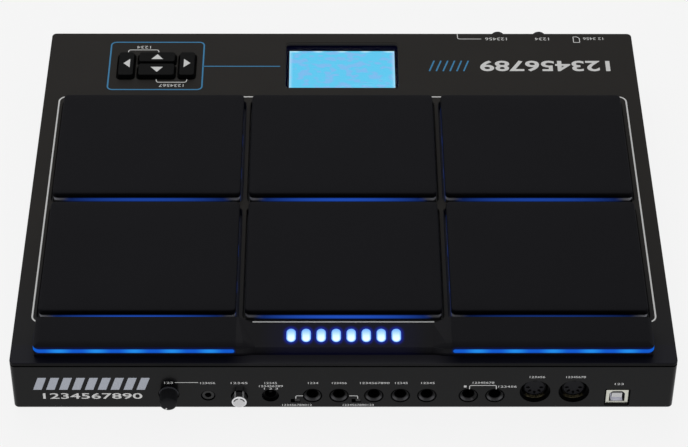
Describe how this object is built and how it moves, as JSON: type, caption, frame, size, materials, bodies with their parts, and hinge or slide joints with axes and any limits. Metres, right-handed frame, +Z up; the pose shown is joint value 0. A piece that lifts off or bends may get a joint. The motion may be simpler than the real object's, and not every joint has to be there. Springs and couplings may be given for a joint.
{
  "type": "sampling drum pad",
  "caption": "Flat electronic percussion pad with rubber playing surfaces in lit frames, a raised rim along the rear edge, small display, keys, volume knobs and a wall of audio sockets.",
  "frame": {"origin": "Centre of the bounding box's bottom, on the plane that the feet stand on, knobs included", "axes": "+X to the player's right, +Y from the player towards the connector wall, +Z up"},
  "size_m": [0.36, 0.3086, 0.0479],
  "materials": {
    "lid_plastic": "fine moulded texture, near black",
    "case_plastic": "fine moulded texture, near black",
    "foot_rubber": "matt",
    "screw_steel": "blackened",
    "insert_brass": "turned",
    "pad_rubber": "fine textured, bluish black",
    "plate_steel": "plated",
    "ring_plastic": "milky, lit from below",
    "foam": "closed-cell foam",
    "sensor_brass": "piezo disc",
    "tray_plastic": "plain",
    "circuit_board": "solder mask",
    "rim_plastic": "fine textured, bluish black",
    "lamp_plastic": "milky, lit from below",
    "strip_plastic": "clear blue, lit from behind",
    "display_glass": "clear",
    "display_screen": "lit sky blue",
    "key_plastic": "gloss black",
    "switch_plastic": "plain black",
    "knob_plastic": "satin black",
    "shaft_steel": "turned",
    "socket_plastic": "plain black",
    "button_chrome": "polished",
    "usb_metal": "nickel plated",
    "lever_plastic": "plain black",
    "ribbon": "flat ribbon"
  },
  "bodies": {
    "frame": {"top_cover": "lid_plastic", "bottom_case": "case_plastic", "rubber_feet": "foot_rubber", "case_screws": "screw_steel", "board_screws": "screw_steel", "stand_inserts": "insert_brass", "light_rings": "ring_plastic", "pad_foams": "foam", "pad_sensors": "sensor_brass", "pad_tray": "tray_plastic", "led_boards": "circuit_board", "rim_housing": "rim_plastic", "rim_centre_light": "lamp_plastic", "edge_pad_left": "pad_rubber", "edge_pad_right": "pad_rubber", "edge_strip_left": "strip_plastic", "edge_strip_right": "strip_plastic", "display_window": "display_glass", "display_module": "display_screen", "key_switches": "switch_plastic", "volume_pots": "switch_plastic", "jack_sockets": "socket_plastic", "aux_socket": "socket_plastic", "dc_socket": "socket_plastic", "power_switch": "switch_plastic", "midi_sockets": "socket_plastic", "midi_inserts": "socket_plastic", "usb_socket": "usb_metal", "card_socket": "usb_metal", "slide_switches": "switch_plastic", "main_board": "circuit_board", "io_boards": "circuit_board", "front_boards": "circuit_board", "ribbon_cables": "ribbon"},
    "aux_volume": {"aux_knob": "knob_plastic", "aux_shaft": "shaft_steel"},
    "phones_volume": {"phones_knob": "knob_plastic", "phones_shaft": "shaft_steel"},
    "main_volume": {"main_knob": "knob_plastic", "main_shaft": "shaft_steel"},
    "power_cap": {"power_button": "button_chrome"},
    "key_left_cap": {"key_left": "key_plastic"},
    "key_right_cap": {"key_right": "key_plastic"},
    "key_up_cap": {"key_up": "key_plastic"},
    "key_down_cap": {"key_down": "key_plastic"},
    "kick_switch": {"kick_switch_lever": "lever_plastic"},
    "hihat_switch": {"hihat_switch_lever": "lever_plastic"},
    "strike_pad_1": {"pad_1": "pad_rubber", "pad_plate_1": "plate_steel"},
    "strike_pad_2": {"pad_2": "pad_rubber", "pad_plate_2": "plate_steel"},
    "strike_pad_3": {"pad_3": "pad_rubber", "pad_plate_3": "plate_steel"},
    "strike_pad_4": {"pad_4": "pad_rubber", "pad_plate_4": "plate_steel"},
    "strike_pad_5": {"pad_5": "pad_rubber", "pad_plate_5": "plate_steel"},
    "strike_pad_6": {"pad_6": "pad_rubber", "pad_plate_6": "plate_steel"}
  },
  "joints": [
    {"name": "aux_volume_turn", "type": "hinge", "parent": "frame", "child": "aux_volume", "pos_m": [0.095, 0.14955, 0.0139], "axis": [0, -1, 0], "range_deg": [0, 300]},
    {"name": "phones_volume_turn", "type": "hinge", "parent": "frame", "child": "phones_volume", "pos_m": [-0.0979, -0.14785, 0.0255], "axis": [0, 1, 0], "range_deg": [0, 300]},
    {"name": "main_volume_turn", "type": "hinge", "parent": "frame", "child": "main_volume", "pos_m": [-0.1237, -0.14785, 0.0255], "axis": [0, 1, 0], "range_deg": [0, 300]},
    {"name": "power_press", "type": "slide", "parent": "frame", "child": "power_cap", "axis": [0, -1, 0], "range_m": [0, 0.003], "stiffness_N_per_m": 300, "springref_m": -0.002},
    {"name": "key_left_press", "type": "slide", "parent": "frame", "child": "key_left_cap", "axis": [0, 0, -1], "range_m": [0, 0.0006], "stiffness_N_per_m": 400, "springref_m": -0.001},
    {"name": "key_right_press", "type": "slide", "parent": "frame", "child": "key_right_cap", "axis": [0, 0, -1], "range_m": [0, 0.0006], "stiffness_N_per_m": 400, "springref_m": -0.001},
    {"name": "key_up_press", "type": "slide", "parent": "frame", "child": "key_up_cap", "axis": [0, 0, -1], "range_m": [0, 0.0006], "stiffness_N_per_m": 400, "springref_m": -0.001},
    {"name": "key_down_press", "type": "slide", "parent": "frame", "child": "key_down_cap", "axis": [0, 0, -1], "range_m": [0, 0.0006], "stiffness_N_per_m": 400, "springref_m": -0.001},
    {"name": "kick_switch_slide", "type": "slide", "parent": "frame", "child": "kick_switch", "axis": [1, 0, 0], "range_m": [0, 0.002]},
    {"name": "hihat_switch_slide", "type": "slide", "parent": "frame", "child": "hihat_switch", "axis": [1, 0, 0], "range_m": [0, 0.002]},
    {"name": "pad_1_strike", "type": "slide", "parent": "frame", "child": "strike_pad_1", "axis": [0, 0, -1], "range_m": [0, 0.0005], "stiffness_N_per_m": 4000, "springref_m": -0.001, "deforming": ["pad_foams"]},
    {"name": "pad_2_strike", "type": "slide", "parent": "frame", "child": "strike_pad_2", "axis": [0, 0, -1], "range_m": [0, 0.0005], "stiffness_N_per_m": 4000, "springref_m": -0.001, "deforming": ["pad_foams"]},
    {"name": "pad_3_strike", "type": "slide", "parent": "frame", "child": "strike_pad_3", "axis": [0, 0, -1], "range_m": [0, 0.0005], "stiffness_N_per_m": 4000, "springref_m": -0.001, "deforming": ["pad_foams"]},
    {"name": "pad_4_strike", "type": "slide", "parent": "frame", "child": "strike_pad_4", "axis": [0, 0, -1], "range_m": [0, 0.0005], "stiffness_N_per_m": 4000, "springref_m": -0.001, "deforming": ["pad_foams"]},
    {"name": "pad_5_strike", "type": "slide", "parent": "frame", "child": "strike_pad_5", "axis": [0, 0, -1], "range_m": [0, 0.0005], "stiffness_N_per_m": 4000, "springref_m": -0.001, "deforming": ["pad_foams"]},
    {"name": "pad_6_strike", "type": "slide", "parent": "frame", "child": "strike_pad_6", "axis": [0, 0, -1], "range_m": [0, 0.0005], "stiffness_N_per_m": 4000, "springref_m": -0.001, "deforming": ["pad_foams"]}
  ]
}
